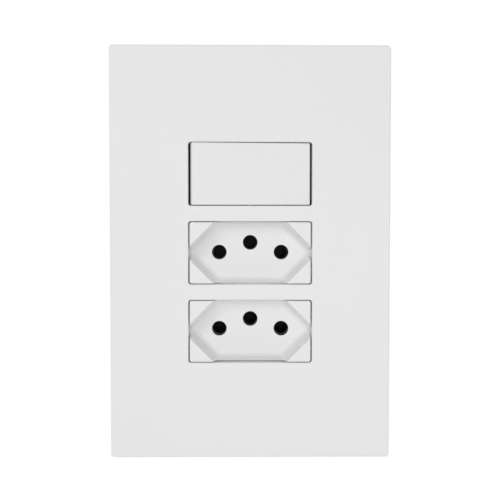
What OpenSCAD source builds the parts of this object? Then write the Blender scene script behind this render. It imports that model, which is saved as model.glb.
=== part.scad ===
// Wall plate for a 4 x 2 inch wall box, with one rocker light switch over two socket outlets
// for three round pins. Units are millimetres. X is to the right, Z is up and the front
// faces -Y. The wall's surface is the plane y = 0, and the plate's centre is the origin.

/* [Cover plate] */
// Width of the cover plate
plate_w = 83.5; // [80:0.5:90]
// Height of the cover plate
plate_h = 123; // [118:0.5:130]
// How far the plate's front stands off the wall
plate_d = 8; // [7.5:0.1:9]
// Thickness of the plate's front wall
plate_wall = 2; // [1.6:0.1:2.4]
// Thickness of the rim around the plate
rim_wall = 1.8; // [1.2:0.1:2.4]
// Radius of the plate's corners
corner_r = 1; // [0.5:0.1:2]
// Radius of the windows' corners
window_r = 0.8; // [0.4:0.1:1.2]

/* [Row of modules] */
// Distance from the outer pin holes to the sides of the windows
window_side = 9; // [8.8:0.1:9.6]
// Distance from one window's centre to the next
pitch = 23.5; // [23.2:0.1:26]
// Height of the bars between the windows
bar_h = 4.6; // [4.2:0.1:5]
// Gap between neighbouring modules
module_gap = 0.3; // [0.1:0.05:0.5]
// How far a module's body reaches past the window, at each side
body_side = 2; // [1.8:0.1:3]
// How far the flange that rests on the mounting frame reaches past the body
flange_lip = 2; // [1.5:0.1:3]
// Thickness of that flange
flange_t = 1.3; // [1:0.1:1.6]
// Depth of a module behind the wall's surface
body_d = 22; // [21.5:0.5:26]

/* [Mounting frame] */
// Distance from the plate's edge to the frame's, at the left and the right
frame_inset_x = 6.75; // [5:0.25:8]
// Distance from the plate's edge to the frame's, at the top and the bottom
frame_inset_z = 5.5; // [4:0.25:8]
// Thickness of the mounting frame
frame_t = 2.5; // [2:0.1:3]
// Radius of the frame's corners
frame_r = 3; // [1:0.5:6]
// Height of the frame's stiffening ribs
rib_h = 1.4; // [0.8:0.1:2]
// Thickness of those ribs
rib_t = 1.2; // [0.8:0.1:1.6]
// Gap between a module's body and the frame around it
frame_gap = 0.3; // [0.15:0.05:0.5]

/* [Box screws] */
// Distance from the modules' opening to each wall box screw
screw_margin = 6.35; // [5.5:0.05:7]
// Radius of the screws' threaded part
stud_r = 1.75; // [1.5:0.05:2]
// Length of the threaded part behind the wall's surface
stud_len = 22; // [12:1:30]
// Radius of the screw's head
box_head_r = 3.5; // [3:0.1:4]
// Thickness of the screw's head
box_head_t = 2; // [1.6:0.1:2.4]
// Length of the frame's slots for the screws
slot_len = 8; // [6:0.5:12]

/* [Rocker key] */
// Gap at each end of the key, where it swings
key_end_gap = 0.45; // [0.3:0.05:0.7]
// Gap above and below the key
key_side_gap = 0.25; // [0.15:0.05:0.4]
// Angle of the key at rest, either side of level
key_tilt = 4; // [2.5:0.25:4.5]
// Thickness of the key's front
key_front_t = 1.8; // [1.4:0.1:2.2]
// Thickness of the key's skirt
key_wall = 1.3; // [1:0.1:1.6]
// Depth of the key from its front to the edge of its skirt
key_depth = 5.4; // [5.2:0.1:6]
// Radius of the key's pivot pins
pivot_r = 1; // [0.8:0.05:1.2]
// Material in front of the bearing holes
bearing_cover = 0.5; // [0.4:0.05:0.8]

/* [Switch contacts] */
// Radius of the sprung plunger
plunger_r = 1.5; // [1.2:0.05:1.8]
// Length of the plunger's straight barrel
plunger_len = 5; // [4:0.25:6]
// Angle of the seesaw contact for each degree of the key
seesaw_ratio = 2.5; // [2:0.1:2.8]
// Distance from the seesaw's ends to the middle of the outer terminals
arm_clear = 5.2; // [4.6:0.1:5.6]
// Width of the seesaw and of the switch's strips
strip_w = 5; // [4:0.25:6]
// Radius of the round nose that carries the seesaw
nose_r = 0.9; // [0.8:0.05:1]
// Distance from that nose to the strip under it
nose_h = 3; // [2.8:0.1:3.4]
// Distance of the contact rivets from the seesaw's end
rivet_inset = 1.6; // [1.4:0.1:2]
// Radius of the contact rivets' heads
rivet_r = 1.3; // [1.1:0.05:1.5]
// Diameter of the spring's wire
wire_d = 0.4; // [0.3:0.05:0.5]
// Number of turns in the spring
spring_turns = 9; // [6:1:12]

/* [Socket outlets] */
// Distance between the two outer pin holes
pin_pitch = 19; // [18.5:0.1:19.5]
// How far the earth pin's hole stands above their line
earth_rise = 3; // [2.8:0.1:3.4]
// Radius of the pin holes
pin_hole_r = 2.25; // [2.1:0.05:2.4]
// Gap between the window and the socket's front, at the top and the bottom
face_gap = 0.3; // [0.2:0.05:0.4]
// The same gap at the left and the right
face_side_gap = 0.45; // [0.3:0.05:0.6]
// Depth of the hexagonal recess
recess_d = 8.3; // [7.8:0.1:8.8]
// How much taller than the socket's front the recess would be at its mouth
mouth_over_h = 0.5; // [0.2:0.1:1]
// How far past the front's sides the slanted walls would meet, at the mouth
mouth_over_x = 2.05; // [1.5:0.05:2.5]
// Draft of the recess's top and bottom walls, from its mouth to its floor
recess_draft_z = 0.9; // [0.6:0.05:1.2]
// Draft of the slanted walls along X, from the mouth to the floor
recess_draft_x = 1.9; // [1.5:0.1:2.3]
// Radius of the fillet around the recess's floor
recess_fillet = 1.2; // [0.6:0.1:1.6]
// Thickness of the recess's floor
floor_t = 2.5; // [2:0.1:2.8]

/* [Socket contacts] */
// Radius of the pins that the sleeves grip
pin_r = 2; // [1.9:0.05:2.1]
// Outer radius of the sleeves
sleeve_r = 2.6; // [2.5:0.05:2.7]
// Distance from the sleeves' rear ends to the terminals' plates
sleeve_stop = 1.9; // [1.6:0.1:2.4]
// Width of the slits in the sleeves
slit_w = 0.8; // [0.5:0.1:1]
// Thickness of the contacts' sheet
sheet_t = 0.8; // [0.6:0.1:1]

/* [Terminals] */
// Distance of the terminals from the side of the module's body
term_inset = 5.3; // [5.1:0.1:5.5]
// Distance of the sockets' terminals from the underside of the module's body
term_rise = 5.4; // [5.3:0.1:5.6]
// Width of the terminals' plates
tail_w = 6.8; // [6.4:0.1:7]
// Thickness of the terminals' plates
tail_t = 1; // [0.8:0.1:1.2]
// Width of the clamp plates
clamp_w = 5.4; // [5:0.1:5.6]
// Thickness of the clamp plates
clamp_t = 1; // [0.8:0.1:1.2]
// Room for a wire between a clamp plate and its terminal
wire_gap = 1.4; // [1:0.1:1.6]
// Radius of the terminal screws' thread
term_screw_r = 1.5; // [1.3:0.05:1.6]
// Radius of the terminal screws' heads
term_head_r = 2.5; // [2.2:0.05:2.6]
// Thickness of the terminal screws' heads
term_head_t = 1.6; // [1.2:0.1:1.8]
// Length of the terminal screws below their heads
term_screw_len = 6; // [5:0.25:6.5]
// How deep the heads lie behind the module's rear
head_sink = 2; // [1.5:0.1:2.4]

/* [Module bases] */
// Thickness of the bases' side walls
base_wall = 1.5; // [1.2:0.1:1.6]
// Thickness of the bases' rear walls
base_rear_t = 1.8; // [1.5:0.1:2]
// Thickness of the walls around a terminal's well
well_wall = 0.9; // [0.7:0.05:1]
// Thickness of the walls between a socket's contacts
divider_t = 1; // [0.8:0.1:1.1]
// Width of the slots that let the wires in
wire_slot_w = 3.6; // [3:0.1:3.8]

/* [Snap joints] */
// Width of the tongues that hold the bases on
tongue_w = 6; // [4:0.5:8]
// Thickness of those tongues
tongue_t = 0.9; // [0.7:0.05:1]
// Length of those tongues
tongue_len = 3.4; // [3:0.1:3.6]
// Height of the bump on each tongue
bump_h = 0.3; // [0.2:0.05:0.35]
// Reach of the hooks that hold the modules in the frame
hook_reach = 0.9; // [0.7:0.05:1.1]
// Length of those hooks along Y
hook_len = 1.6; // [1.2:0.1:1.8]
// Width of those hooks
hook_w = 3; // [2:0.25:4]
// Distance of the hooks from the top and the underside of a module
hook_inset = 4; // [3.2:0.1:4.6]
// Distance from the frame's side to the plate's clips
clip_inset_x = 5.5; // [4:0.25:7]
// Distance from the frame's top or bottom to the middle of the plate's clips
clip_inset_z = 10; // [9:0.5:12]
// Width of the plate's clips
clip_w = 8; // [5:0.5:10]
// Thickness of the plate's clips
clip_t = 1.4; // [1:0.1:1.6]
// Reach of the barb on each clip
barb = 0.5; // [0.4:0.05:0.7]
// Thickness of the frame's ledge that the barbs catch
ledge_t = 1.2; // [1:0.1:1.4]

/* [Hidden] */
$fn = 64;

// Small lengths used throughout
cut = 1;             // how far a cutting shape runs past what it cuts
snap_gap = 0.15;     // clearance around tongues, clips and hooks
running_gap = 0.05;  // radial clearance of pivots, plungers and screws in their holes
root = 0.5;          // how far a rib or tongue is sunk into the wall that carries it

// Depths, from the front of the plate to the rear of the modules
front_y = -plate_d;
plate_back_y = front_y + plate_wall;
collar_y = plate_back_y + 0.3;
frame_y = -frame_t;
flange_y = frame_y - flange_t;
floor_y = front_y + recess_d;
split_y = floor_y + floor_t;
rear_y = body_d;
chamber_y = rear_y - base_rear_t;

// Heights of the three modules, and a module's own size
switch_z = pitch;
upper_z = 0;
lower_z = -pitch;
window_w = pin_pitch + 2 * window_side;
window_h = pitch - bar_h;
module_h = pitch - module_gap;
body_w = window_w + 2 * body_side;
flange_w = body_w + 2 * flange_lip;

// The mounting frame, its opening for the modules, and what it carries
frame_w = plate_w - 2 * frame_inset_x;
frame_h = plate_h - 2 * frame_inset_z;
opening_w = body_w + 2 * frame_gap;
opening_h = 3 * pitch + frame_gap;
box_pitch = opening_h + 2 * screw_margin;
hook_z = module_h / 2 - hook_inset;
clip_x = frame_w / 2 - clip_inset_x;
clip_z = frame_h / 2 - clip_inset_z;

// Places of the terminals, and a terminal's stack, counted back from the module's rear
term_x = body_w / 2 - term_inset;
term_drop = module_h / 2 - term_rise;
head_y = rear_y - head_sink;
clamp_y = head_y - term_head_t;
tail_rear_y = clamp_y - clamp_t - wire_gap;
tail_y = tail_rear_y - tail_t;
well_w = clamp_w + 2 * snap_gap + 0.1;
boss_w = well_w + 2 * well_wall;

// The sockets' front and contacts
face_w = window_w - 2 * face_side_gap;
face_h = window_h - 2 * face_gap;
recess_mouth_h = face_h + mouth_over_h;
recess_floor_h = recess_mouth_h - 2 * recess_draft_z;
recess_mouth_reach = face_w / 2 + mouth_over_x;
recess_floor_reach = recess_mouth_reach - recess_draft_x;
pin_x = pin_pitch / 2;
sleeve_y = split_y + 0.3;
sleeve_rear_y = tail_y - sleeve_stop;
sleeve_len = sleeve_rear_y - sleeve_y;
sleeve_boss_y = sleeve_rear_y + 0.2;
sleeve_boss_r = sleeve_r + 0.7;

// The key's pivot and size. Its ends are round about the pivot, so its gaps don't change.
key_pivot_y = collar_y + bearing_cover + pivot_r + running_gap;
key_front = key_pivot_y - front_y;
key_r = window_w / 2 - key_end_gap;
key_h = window_h - 2 * key_side_gap;
key_skirt_y = key_depth - key_front;
pivot_reach = module_h / 2 - 0.4;

// The seesaw turns on the round nose of the common terminal
nose_y = tail_y - nose_h;
seesaw_bore_r = nose_r + 0.1;
seesaw_top = seesaw_bore_r + 0.7;
seesaw_tilt = key_tilt * seesaw_ratio;
arm_len = term_x - arm_clear;
rivet_x = arm_len - rivet_inset;
contact_gap = 0.1;
rivet_t = 0.7;
rivet_shank_r = 0.7;

// The plunger's tip clears the seesaw by this much when the key is level
tip_gap = 0.07;
plunger_y = nose_y - key_pivot_y - seesaw_top - plunger_r - tip_gap;
plunger_tail_r = plunger_r / 2;
plunger_tail_len = 1.5;
stem_bore_r = plunger_r + running_gap;
stem_r = stem_bore_r + 1.4;
stem_y = plunger_y - 0.7;
stem_floor_y = -1;
spring_seat = 0.1;

function lerp(a, b, t) = a + (b - a) * t;
function dome_radius(r, rise) = (r * r + rise * rise) / (2 * rise);

// A box w wide along X and h tall along Z, from depth y0 to y1, centred on (x, z)
module block(w, h, y0, y1, x = 0, z = 0) {
    translate([x - w / 2, y0, z - h / 2]) cube([w, y1 - y0, h]);
}

// A round bar along Y, from depth y0 to y1, centred on (x, z)
module rod(r, y0, y1, x = 0, z = 0) {
    translate([x, y1, z]) rotate([90, 0, 0]) cylinder(r = r, h = y1 - y0);
}

// A box with rounded corners, seen from the front
module panel(w, h, r, y0, y1) {
    translate([0, y1, 0]) rotate([90, 0, 0]) linear_extrude(y1 - y0) {
        square([w - 2 * r, h], center = true);
        square([w, h - 2 * r], center = true);
        for (sx = [-1, 1], sz = [-1, 1])
            translate([sx * (w / 2 - r), sz * (h / 2 - r)]) circle(r);
    }
}

// An outline drawn in X and Y, given the height h along Z and centred on z
module upright(h, z = 0) {
    translate([0, 0, z]) linear_extrude(h, center = true) children();
}

// A screw along Y: its head's bearing face is at y, its shank points to side +1 or -1
module slotted_screw(head_r, head_t, side) {
    rise = head_t / 2;
    slot = head_t * 0.5;
    mirror([0, side > 0 ? 0 : 1, 0]) difference() {
        intersection() {
            rod(head_r, -head_t, 0);
            translate([0, dome_radius(head_r, rise) - head_t, 0])
                sphere(dome_radius(head_r, rise));
        }
        block(2 * head_r + cut, head_t * 0.45, -head_t - cut, slot - head_t);
    }
}

// Cover plate

// A clip on the right of the plate: its barb catches behind the frame's ledge
module clip_outline() {
    catch_y = frame_y + ledge_t + 0.1;
    tip_y = -0.3;
    polygon([[0, plate_back_y - root], [clip_t, plate_back_y - root], [clip_t, catch_y],
        [clip_t + barb, catch_y], [clip_t + barb, catch_y + 0.2], [clip_t - 0.3, tip_y],
        [0, tip_y]]);
}

module cover_plate() {
    color("whitesmoke") {
        difference() {
            panel(plate_w, plate_h, corner_r, front_y, 0);
            panel(plate_w - 2 * rim_wall, plate_h - 2 * rim_wall, corner_r / 2,
                plate_back_y, cut);
            for (z = [switch_z, upper_z, lower_z])
                translate([0, 0, z])
                    panel(window_w, window_h, window_r, front_y - cut, plate_back_y + cut);
        }
        for (sx = [0, 1], sz = [-1, 1])
            mirror([sx, 0, 0]) translate([clip_x, 0, 0])
                upright(clip_w, sz * clip_z) clip_outline();
    }
}

// Mounting frame

module clip_slot() {
    inner = barb + snap_gap + 0.1;
    slot_h = clip_w + 4 * snap_gap;
    translate([-inner, 0, 0]) {
        block_w = inner + clip_t + snap_gap;
        translate([block_w / 2, 0, 0]) block(block_w, slot_h, frame_y - cut, cut);
        pocket_w = block_w + barb + snap_gap;
        translate([pocket_w / 2, 0, 0]) block(pocket_w, slot_h, frame_y + ledge_t, cut);
    }
}

module mounting_frame() {
    edge_rib = 2 * rib_t;
    inner_x = flange_w / 2 + 0.5;
    color("gainsboro") difference() {
        union() {
            panel(frame_w, frame_h, frame_r, frame_y, 0);
            difference() {
                panel(frame_w, frame_h, frame_r, frame_y - rib_h, frame_y + root);
                panel(frame_w - edge_rib, frame_h - edge_rib, frame_r - rib_t / 2,
                    frame_y - rib_h - cut, frame_y + root + cut);
            }
            for (sx = [-1, 1])
                block(rib_t, opening_h, frame_y - rib_h, frame_y + root,
                    sx * (inner_x + rib_t / 2));
            for (sx = [-1, 1], sz = [-1, 1]) {
                rib_len = frame_h / 2 - opening_h / 2 - 1;
                block(rib_t, rib_len, frame_y - rib_h, frame_y + root,
                    sx * slot_len * 1.4, sz * (frame_h / 2 - rib_len / 2));
            }
        }
        block(opening_w, opening_h, frame_y - rib_h - cut, cut);
        for (sz = [-1, 1]) {
            block(slot_len - 2 * stud_r, 2 * stud_r + 0.6, frame_y - cut, cut,
                z = sz * box_pitch / 2);
            for (sx = [-1, 1])
                rod(stud_r + 0.3, frame_y - cut, cut, sx * (slot_len / 2 - stud_r),
                    sz * box_pitch / 2);
        }
        for (sx = [0, 1], sz = [-1, 1])
            mirror([sx, 0, 0]) translate([clip_x, 0, sz * clip_z]) clip_slot();
    }
}

// Screws into the wall box: a smooth neck in the frame, then the threaded part

module box_screw(z) {
    neck_r = stud_r - 0.25;
    point = 1;
    color("lightgray") translate([0, 0, z]) {
        translate([0, frame_y, 0]) slotted_screw(box_head_r, box_head_t, 1);
        rod(neck_r, frame_y - root, root);
        rod(stud_r, 0, stud_len);
        translate([0, stud_len, 0]) rotate([-90, 0, 0])
            cylinder(r1 = stud_r, r2 = stud_r / 2, h = point);
    }
}

module box_screw_top() { box_screw(box_pitch / 2); }
module box_screw_bottom() { box_screw(-box_pitch / 2); }

// Shared by the three modules

// Hooks at a module's sides, which catch behind the frame
module frame_hooks(z) {
    hook_y = snap_gap;
    for (sx = [0, 1], sz = [-1, 1])
        mirror([sx, 0, 0]) upright(hook_w, z + sz * hook_z)
            polygon([[body_w / 2 - root, hook_y], [body_w / 2 + hook_reach, hook_y],
                [body_w / 2 + hook_reach, hook_y + 0.4],
                [body_w / 2, hook_y + hook_len], [body_w / 2 - root, hook_y + hook_len]]);
}

// Tongues on a base, each with a bump on its inner side near the tip
module tongues(z) {
    outer = body_w / 2;
    inner = outer - tongue_t;
    tip_y = split_y - tongue_len;
    for (sx = [0, 1])
        mirror([sx, 0, 0]) upright(tongue_w, z)
            polygon([[outer, split_y + root], [outer, tip_y], [inner, tip_y],
                [inner - bump_h, tip_y + 0.5], [inner - bump_h, tip_y + 0.8],
                [inner, tip_y + 1.3], [inner, split_y + root]]);
}

// The room that the tongues and their bumps take in a face or a bezel
module tongue_slots(z) {
    depth = tongue_t + snap_gap;
    slot_w = tongue_w + 2 * snap_gap;
    tip_y = split_y - tongue_len;
    for (sx = [-1, 1]) {
        block(depth + cut, slot_w, tip_y - snap_gap, split_y + cut,
            sx * (body_w / 2 - depth / 2 + cut / 2), z);
        block(depth + bump_h, slot_w, tip_y + snap_gap, tip_y + 1.5,
            sx * (body_w / 2 - (depth + bump_h) / 2), z);
    }
}

// The box that closes a module at the rear, with its tongues
module base_shell(z) {
    difference() {
        block(body_w, module_h, split_y, rear_y, z = z);
        block(body_w - 2 * base_wall, module_h - 2 * base_wall, split_y - cut, chamber_y,
            z = z);
    }
    tongues(z);
}

module terminal_boss(x, z) {
    block(boss_w, boss_w, tail_rear_y, rear_y, x, z);
}

// The well behind a terminal, with the slot that lets its wire in from dir = [x, z]
module terminal_well(x, z, dir) {
    reach = body_w / 2 + cut - term_x;
    reach_z = module_h / 2 + cut - term_drop;
    block(well_w, well_w, tail_rear_y - cut, rear_y + cut, x, z);
    if (dir[0] != 0)
        block(reach, wire_slot_w, tail_rear_y, rear_y + cut, x + dir[0] * reach / 2, z);
    else
        block(wire_slot_w, reach_z, tail_rear_y, rear_y + cut, x,
            z + dir[1] * reach_z / 2);
}

// A terminal's plate, with its threaded hole
module tail(x, z) {
    difference() {
        block(tail_w, tail_w, tail_y, tail_rear_y, x, z);
        rod(term_screw_r + running_gap, tail_y - cut, tail_rear_y + cut, x, z);
    }
}

module clamp(x, z) {
    color("goldenrod") difference() {
        block(clamp_w, clamp_w, clamp_y - clamp_t, clamp_y, x, z);
        rod(term_screw_r + running_gap, clamp_y - clamp_t - cut, clamp_y + cut, x, z);
    }
}

module terminal_screw(x, z) {
    color("silver") translate([x, 0, z]) {
        translate([0, clamp_y, 0]) slotted_screw(term_head_r, term_head_t, -1);
        rod(term_screw_r, clamp_y - term_screw_len, clamp_y + root / 2);
    }
}

// Rocker switch

// Places what moves with the key: the pivot is the origin, and the key is drawn level
module on_key() {
    translate([0, key_pivot_y, switch_z]) rotate([0, 0, key_tilt]) children();
}

// Places what moves with the seesaw, drawn level about the terminal's nose
module on_seesaw() {
    translate([0, nose_y, switch_z]) rotate([0, 0, -seesaw_tilt]) children();
}

module rocker_key() {
    web_t = 1;
    web_y = stem_floor_y + 1.5;
    color("white") on_key() difference() {
        union() {
            difference() {
                intersection() {
                    cylinder(r = key_r, h = key_h, center = true);
                    block(2 * key_r, key_h, -key_front, key_skirt_y);
                }
                intersection() {
                    cylinder(r = key_r - key_wall, h = key_h - 2 * key_wall, center = true);
                    block(2 * key_r, key_h, key_front_t - key_front, key_skirt_y + cut);
                }
            }
            rod(stem_r, key_front_t - key_front - root, stem_y);
            block(2 * (key_r - key_wall), web_t, key_front_t - key_front - root, web_y);
            block(web_t, key_h - key_wall, key_front_t - key_front - root, web_y);
            for (s = [0, 1])
                mirror([0, 0, s]) translate([0, 0, key_h / 2 - key_wall])
                    cylinder(r = pivot_r, h = pivot_reach - key_h / 2 + key_wall);
        }
        rod(stem_bore_r, stem_floor_y, stem_y + cut);
    }
}

module contact_plunger() {
    color("gray") on_key() translate([0, plunger_y, 0]) rotate([-90, 0, 0]) rotate_extrude() {
        intersection() {
            circle(plunger_r);
            square(plunger_r);
        }
        translate([0, -plunger_len]) square([plunger_r, plunger_len]);
        translate([0, -plunger_len - plunger_tail_len])
            square([plunger_tail_r, plunger_tail_len]);
    }
}

// The spring: a round wire carried along a helix inside the key's stem
module plunger_spring() {
    y0 = stem_floor_y + spring_seat + wire_d / 2;
    y1 = plunger_y - plunger_len - spring_seat - wire_d / 2;
    coil_r = stem_bore_r - 0.2 - wire_d / 2;
    steps = 16;
    sides = 6;
    rings = spring_turns * steps;
    points = [for (i = [0:rings], k = [0:sides - 1])
        let (a = 360 * i / steps, b = 360 * k / sides, r = coil_r + wire_d / 2 * cos(b))
            [r * cos(a), lerp(y0, y1, i / rings) + wire_d / 2 * sin(b), r * sin(a)]];
    sides_list = [for (i = [0:rings - 1], k = [0:sides - 1])
        let (n = (k + 1) % sides)
            [i * sides + k, i * sides + n, (i + 1) * sides + n, (i + 1) * sides + k]];
    start = [[for (k = [sides - 1:-1:0]) k]];
    end = [[for (k = [0:sides - 1]) rings * sides + k]];
    color("silver") on_key() polyhedron(points, concat(sides_list, start, end));
}

module seesaw_contact() {
    arm_top = -seesaw_top;
    arm_bottom = sheet_t - seesaw_top;
    color("peru") on_seesaw() difference() {
        union() {
            block(2 * arm_len, strip_w, arm_top, arm_bottom);
            intersection() {
                cylinder(r = seesaw_top, h = strip_w, center = true);
                block(2 * seesaw_top, strip_w, arm_top, 0);
            }
        }
        cylinder(r = seesaw_bore_r, h = strip_w + cut, center = true);
        rod(rivet_shank_r + running_gap, arm_top - cut, arm_bottom + cut, rivet_x);
    }
}

module moving_rivet() {
    arm_top = -seesaw_top;
    arm_bottom = sheet_t - seesaw_top;
    color("silver") on_seesaw() {
        rod(rivet_r, arm_bottom, arm_bottom + rivet_t, rivet_x);
        rod(rivet_shank_r, arm_top, arm_bottom + rivet_t / 2, rivet_x);
    }
}

// Height of the moving rivet's low edge, above the nose, with the contact closed
function closed_drop() = (rivet_x + rivet_r) * sin(seesaw_tilt)
    + (sheet_t - seesaw_top + rivet_t) * cos(seesaw_tilt);

module switch_bezel() {
    color("white") difference() {
        union() {
            block(body_w, module_h, collar_y, split_y, z = switch_z);
            block(flange_w, module_h, flange_y, frame_y, z = switch_z);
            frame_hooks(switch_z);
        }
        block(window_w, window_h, collar_y - cut, split_y + cut, z = switch_z);
        translate([0, key_pivot_y, switch_z])
            cylinder(r = pivot_r + running_gap, h = module_h + cut, center = true);
        tongue_slots(switch_z);
    }
}

module switch_base() {
    rib_x = term_x - boss_w / 2 + root;
    color("dimgray") difference() {
        union() {
            base_shell(switch_z);
            for (s = [-1, 1]) terminal_boss(s * term_x, switch_z);
            block(rib_x, strip_w / 2, tail_rear_y, chamber_y + root, -rib_x / 2, switch_z);
            block(rib_x - rivet_x + rivet_r, strip_w / 2, tail_rear_y, chamber_y + root,
                (rib_x + rivet_x - rivet_r) / 2, switch_z);
        }
        for (s = [-1, 1]) terminal_well(s * term_x, switch_z, [s, 0]);
    }
}

// The fixed contact terminal's strip runs in from x0 to x1 at the depth of the plates
module strip(x0, x1) {
    block(x1 - x0, strip_w, tail_y, tail_rear_y, (x0 + x1) / 2, switch_z);
}

module common_terminal() {
    plate_edge = term_x - tail_w / 2 + root;
    rest_x = arm_len - 0.8;
    rest_gap = 0.25;
    rest_y = nose_y + arm_len * sin(seesaw_tilt)
        + (sheet_t - seesaw_top) * cos(seesaw_tilt) + rest_gap;
    color("gold") {
        tail(-term_x, switch_z);
        strip(-plate_edge, nose_r);
        block(2 * nose_r, strip_w, nose_y, tail_y + root, z = switch_z);
        translate([0, nose_y, switch_z]) cylinder(r = nose_r, h = strip_w, center = true);
        block(1.6, strip_w, rest_y, tail_y + root, -rest_x, switch_z);
    }
}

module switched_terminal() {
    plate_edge = term_x - tail_w / 2 + root;
    color("gold") {
        tail(term_x, switch_z);
        difference() {
            strip(rivet_x - rivet_r, plate_edge);
            rod(rivet_shank_r + running_gap, tail_y - cut, tail_rear_y + cut, rivet_x,
                switch_z);
        }
    }
}

module fixed_rivet() {
    color("silver") {
        rod(rivet_r, nose_y + closed_drop() + contact_gap, tail_y, rivet_x, switch_z);
        rod(rivet_shank_r, tail_y - rivet_t / 2, tail_rear_y, rivet_x, switch_z);
    }
}

module common_clamp() { clamp(-term_x, switch_z); }
module switched_clamp() { clamp(term_x, switch_z); }
module common_screw() { terminal_screw(-term_x, switch_z); }
module switched_screw() { terminal_screw(term_x, switch_z); }

// Socket outlets

// One ring of the recess: a hexagon with rounded corners, h tall, whose slanted walls
// reach to x = reach, at depth y
tip_round = 1.2;
shoulder_round = 1;
arc_step = 15;
function arc(x, z, r, a0, a1, y) =
    [for (a = [a0:arc_step:a1]) [x + r * cos(a), y, z + r * sin(a)]];
function ring(h, reach, y) =
    let (tip_x = reach - tip_round * sqrt(2), top_z = h / 2 - shoulder_round,
        top_x = reach - h / 2 - shoulder_round * (sqrt(2) - 1))
    concat(arc(tip_x, 0, tip_round, -45, 45, y),
        arc(top_x, top_z, shoulder_round, 45, 90, y),
        arc(-top_x, top_z, shoulder_round, 90, 135, y),
        arc(-tip_x, 0, tip_round, 135, 225, y),
        arc(-top_x, -top_z, shoulder_round, 225, 270, y),
        arc(top_x, -top_z, shoulder_round, 270, 315, y));

// A ring at draft t, from 0 at the floor to 1 at the mouth, drawn in by inset
function drafted(t, inset, y) =
    ring(lerp(recess_floor_h, recess_mouth_h, t) - 2 * inset,
        lerp(recess_floor_reach, recess_mouth_reach, t) - inset * sqrt(2), y);

module recess() {
    fillet_rings = [for (a = [0:22.5:90])
        let (rise = recess_fillet * (1 - cos(a)))
            drafted(rise / recess_d, recess_fillet * (1 - sin(a)), floor_y - rise)];
    mouth = drafted(1 + cut / recess_d, 0, front_y - cut);
    rings = concat(fillet_rings, [mouth]);
    n = len(mouth);
    last = len(rings) - 1;
    points = [for (r = rings) for (p = r) p];
    walls = [for (i = [0:last - 1], k = [0:n - 1])
        let (m = (k + 1) % n) [i * n + k, (i + 1) * n + k, (i + 1) * n + m, i * n + m]];
    floor_face = [[for (k = [0:n - 1]) k]];
    mouth_face = [[for (k = [n - 1:-1:0]) last * n + k]];
    polyhedron(points, concat(walls, floor_face, mouth_face));
}

// Hollows in the face's four corners, behind the flange and outside the recess
module corner_hollows(z) {
    wall = base_wall;
    x1 = body_w / 2 - tongue_t - snap_gap - bump_h - wall;
    z1 = module_h / 2 - wall;
    line = recess_mouth_reach + wall * sqrt(2);
    y0 = flange_y + 2 * wall;
    for (sx = [0, 1], sz = [0, 1])
        translate([0, split_y + cut, z]) mirror([sx, 0, 0]) mirror([0, 0, sz])
            rotate([90, 0, 0]) linear_extrude(split_y + cut - y0)
                polygon([[line - z1, z1], [x1, line - x1], [x1, z1]]);
}

module socket_face(z) {
    color("white") difference() {
        union() {
            translate([0, 0, z])
                panel(face_w, face_h, window_r - 0.2, front_y, flange_y + root);
            block(flange_w, module_h, flange_y, frame_y, z = z);
            block(body_w, module_h, frame_y - root, split_y, z = z);
            frame_hooks(z);
        }
        translate([0, 0, z]) recess();
        for (s = [-1, 1])
            rod(pin_hole_r, floor_y - cut, split_y + cut, s * pin_x, z);
        rod(pin_hole_r, floor_y - cut, split_y + cut, 0, z + earth_rise);
        corner_hollows(z);
        tongue_slots(z);
    }
}

module socket_base(z) {
    divider_x = (pin_x - sleeve_boss_r + boss_w / 2) / 2;
    pin_room_r = pin_r + 0.5;
    color("dimgray") difference() {
        union() {
            base_shell(z);
            for (s = [-1, 1]) {
                rod(sleeve_boss_r, sleeve_boss_y, chamber_y + root, s * pin_x, z);
                block(divider_t, module_h - base_wall, split_y + 0.3, chamber_y + root,
                    s * divider_x, z);
                terminal_boss(s * term_x, z - term_drop);
            }
            rod(sleeve_boss_r, sleeve_boss_y, chamber_y + root, 0, z + earth_rise);
            terminal_boss(0, z - term_drop);
        }
        for (s = [-1, 1]) {
            rod(pin_room_r, sleeve_boss_y - cut, chamber_y, s * pin_x, z);
            terminal_well(s * term_x, z - term_drop, [s, 0]);
        }
        rod(pin_room_r, sleeve_boss_y - cut, chamber_y, 0, z + earth_rise);
        terminal_well(0, z - term_drop, [0, -1]);
    }
}

// A sprung sleeve, slit from its mouth along both sides
module sleeve(x, z) {
    difference() {
        rod(sleeve_r, sleeve_y, sleeve_rear_y, x, z);
        rod(pin_r, sleeve_y - cut, sleeve_rear_y + cut, x, z);
        block(2 * sleeve_r + cut, slit_w, sleeve_y - cut, sleeve_rear_y - sleeve_len / 3,
            x, z);
    }
}

// An outer contact: a web along the underside of the sleeve and a foot down to the plate
module outer_contact(side, z) {
    web_top = z + 0.2 - sleeve_r;
    web_z = web_top - sheet_t / 2;
    foot_x0 = term_x - tail_w / 2 + 0.2;
    foot_x1 = foot_x0 + 2.6;
    web_x0 = pin_x - 1;
    color("gold") {
        sleeve(side * pin_x, z);
        block(foot_x1 - web_x0, sheet_t, sleeve_y + 2, sleeve_rear_y - 0.2,
            side * (web_x0 + foot_x1) / 2, web_z);
        block(foot_x1 - foot_x0, sheet_t, sleeve_rear_y - 0.2 - root, tail_rear_y,
            side * (foot_x0 + foot_x1) / 2, web_z);
        tail(side * term_x, z - term_drop);
        joint_z = z - term_drop + tail_w / 2 - root;
        block(foot_x1 - foot_x0, web_top - joint_z, tail_y, tail_rear_y,
            side * (foot_x0 + foot_x1) / 2, (web_top + joint_z) / 2);
    }
}

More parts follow.
